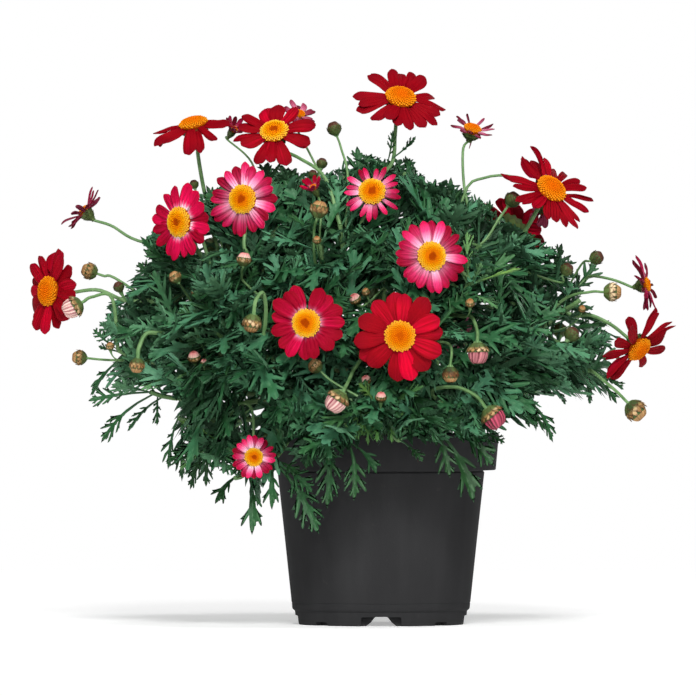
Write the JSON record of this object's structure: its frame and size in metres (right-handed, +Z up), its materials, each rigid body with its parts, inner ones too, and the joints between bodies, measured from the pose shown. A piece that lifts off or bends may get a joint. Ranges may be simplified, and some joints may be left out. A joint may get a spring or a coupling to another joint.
{
  "type": "potted flowering plant",
  "caption": "Bushy marguerite daisy in bloom, with lobed blue-green leaves and red and pink daisy heads, in a round black nursery pot.",
  "frame": {"origin": "on the floor, under the middle of the plant's bounding box", "axes": "+Z up, front towards -Y, +X to the right as seen from the front; the pot's axis is vertical at x 0.0198, y -0.0026"},
  "size_m": [0.3861, 0.2974, 0.3279],
  "materials": {
    "pot": "satin",
    "soil": "rough, moist",
    "leaf": "matte, fine-haired",
    "disc": "matte, granular",
    "petal_red": "velvety",
    "petal_rose": "velvety",
    "petal_pink": "velvety",
    "petal_faded": "velvety",
    "petal_dark": "velvety"
  },
  "bodies": {
    "root": {"pot": "pot", "soil": "soil", "bloom_01_rays": "petal_red", "bloom_01_disc": "disc", "bloom_02_rays": "petal_red", "bloom_02_disc": "disc", "bloom_03_rays": "petal_pink", "bloom_03_disc": "disc", "bloom_04_rays": "petal_rose", "bloom_04_disc": "disc", "bloom_05_rays": "petal_pink", "bloom_05_disc": "disc", "bloom_06_rays": "petal_red", "bloom_06_disc": "disc", "bloom_07_rays": "petal_faded", "bloom_07_disc": "disc", "bloom_08_rays": "petal_red", "bloom_08_disc": "disc", "bloom_09_rays": "petal_pink", "bloom_09_disc": "disc", "bloom_10_rays": "petal_rose", "bloom_10_disc": "disc", "bloom_11_rays": "petal_red", "bloom_11_disc": "disc", "bloom_12_rays": "petal_pink", "bloom_12_disc": "disc", "bloom_13_rays": "petal_red", "bloom_13_disc": "disc", "bloom_14_rays": "petal_dark", "bloom_14_disc": "disc", "bloom_15_rays": "petal_red", "bloom_15_disc": "disc", "bloom_16_rays": "petal_dark", "bloom_16_disc": "disc", "bloom_17_rays": "petal_dark", "bloom_17_disc": "disc", "bloom_18_head": "petal_dark", "bloom_19_head": "petal_faded", "bloom_20_head": "petal_rose", "bloom_21_rays": "petal_red", "bloom_21_disc": "disc", "bloom_22_rays": "petal_pink", "bloom_22_disc": "disc", "bloom_23_rays": "petal_red", "bloom_23_disc": "disc", "bloom_24_head": "petal_rose", "leafy_stem_01": "leaf", "leafy_stem_02": "leaf", "leafy_stem_03": "leaf", "leafy_stem_04": "leaf", "leafy_stem_05": "leaf", "leafy_stem_06": "leaf", "leafy_stem_07": "leaf", "leafy_stem_08": "leaf", "leafy_stem_09": "leaf", "leafy_stem_10": "leaf", "leafy_stem_11": "leaf", "leafy_stem_12": "leaf", "leafy_stem_13": "leaf", "leafy_stem_14": "leaf"}
  },
  "joints": []
}
